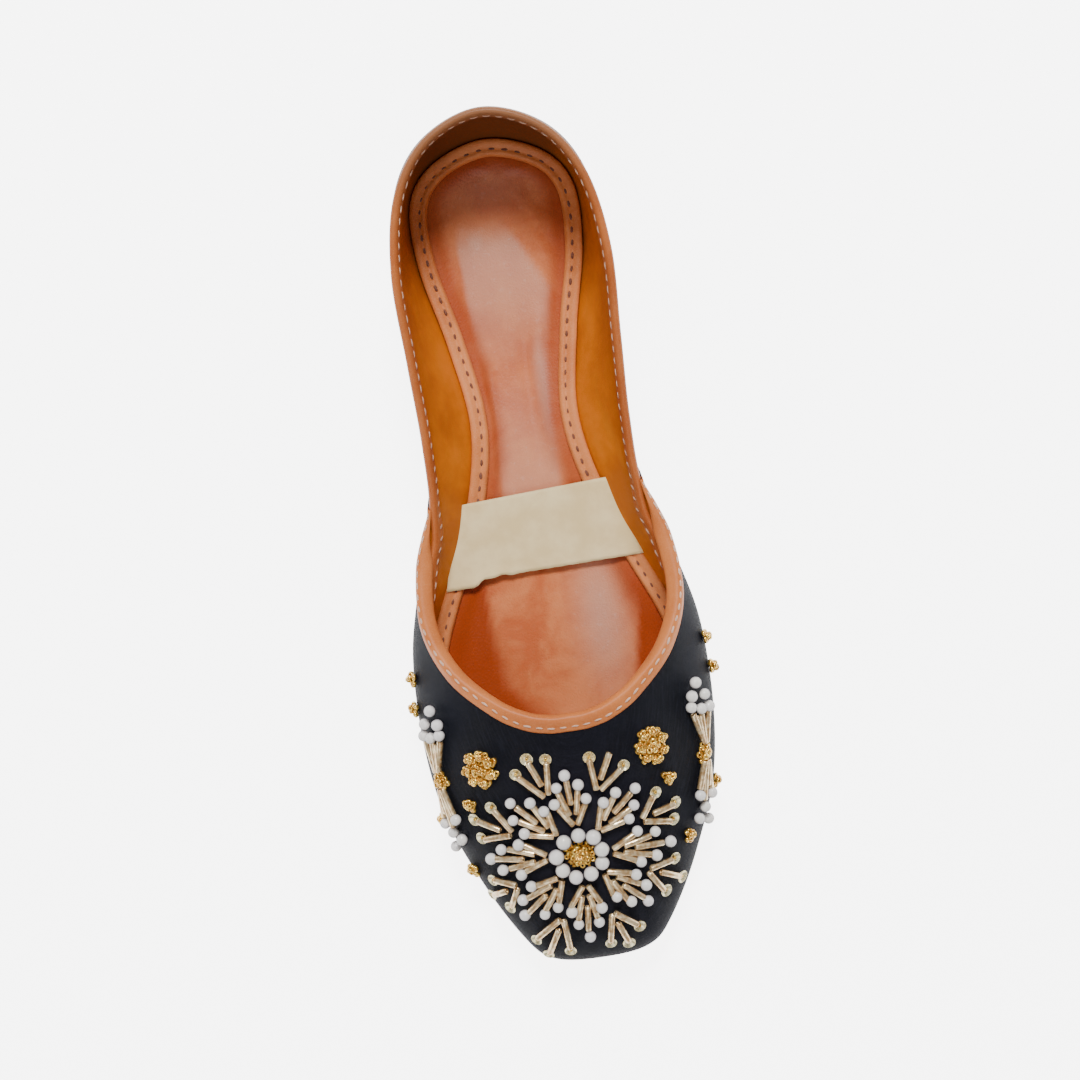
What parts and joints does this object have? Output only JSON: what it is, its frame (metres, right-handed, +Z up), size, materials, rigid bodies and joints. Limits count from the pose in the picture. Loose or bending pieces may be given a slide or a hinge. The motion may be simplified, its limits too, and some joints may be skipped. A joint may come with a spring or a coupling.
{
  "type": "beaded flat shoe",
  "caption": "Flat slip-on shoe with a straight last, squared toe, black fabric vamp sewn with a bead rosette, tan leather bindings and a stitched leather insole.",
  "frame": {"origin": "middle of the footprint's bounding box on the floor plane under the sole", "axes": "+Z up; the toe points along -Y and the heel along +Y; X runs across the shoe"},
  "size_m": [0.0896, 0.2408, 0.052],
  "materials": {
    "sole_leather": "matte tan",
    "black_silk": "satin, slubbed weave",
    "insole_leather": "glossy",
    "band_leather": "satin",
    "label_cloth": "matte",
    "collar_leather": "satin",
    "throat_leather": "satin",
    "pearl": "pearly gloss",
    "gold_bead": "polished"
  },
  "bodies": {
    "root": {"outsole": "sole_leather", "upper": "black_silk", "insole": "insole_leather", "insole_band": "band_leather", "insole_label": "label_cloth", "quarter_binding": "collar_leather", "vamp_binding": "throat_leather", "rosette_pearls": "pearl", "petal_1": "pearl", "petal_2": "pearl", "petal_3": "pearl", "petal_4": "pearl", "petal_5": "pearl", "petal_6": "pearl", "petal_7": "pearl", "petal_8": "pearl", "side_spray_1": "pearl", "side_spray_2": "pearl", "rosette_gold": "gold_bead", "sprig_1": "gold_bead", "sprig_2": "gold_bead", "sprig_3": "gold_bead", "sprig_4": "gold_bead", "sprig_5": "gold_bead", "sprig_6": "gold_bead", "sprig_7": "gold_bead", "sprig_8": "gold_bead", "gold_flower_1": "gold_bead", "gold_flower_2": "gold_bead", "gold_cluster_1": "gold_bead", "gold_cluster_2": "gold_bead", "gold_cluster_3": "gold_bead", "gold_cluster_4": "gold_bead", "gold_cluster_5": "gold_bead", "gold_cluster_6": "gold_bead", "gold_cluster_7": "gold_bead", "gold_cluster_8": "gold_bead", "gold_cluster_9": "gold_bead", "gold_cluster_10": "gold_bead"}
  },
  "joints": []
}
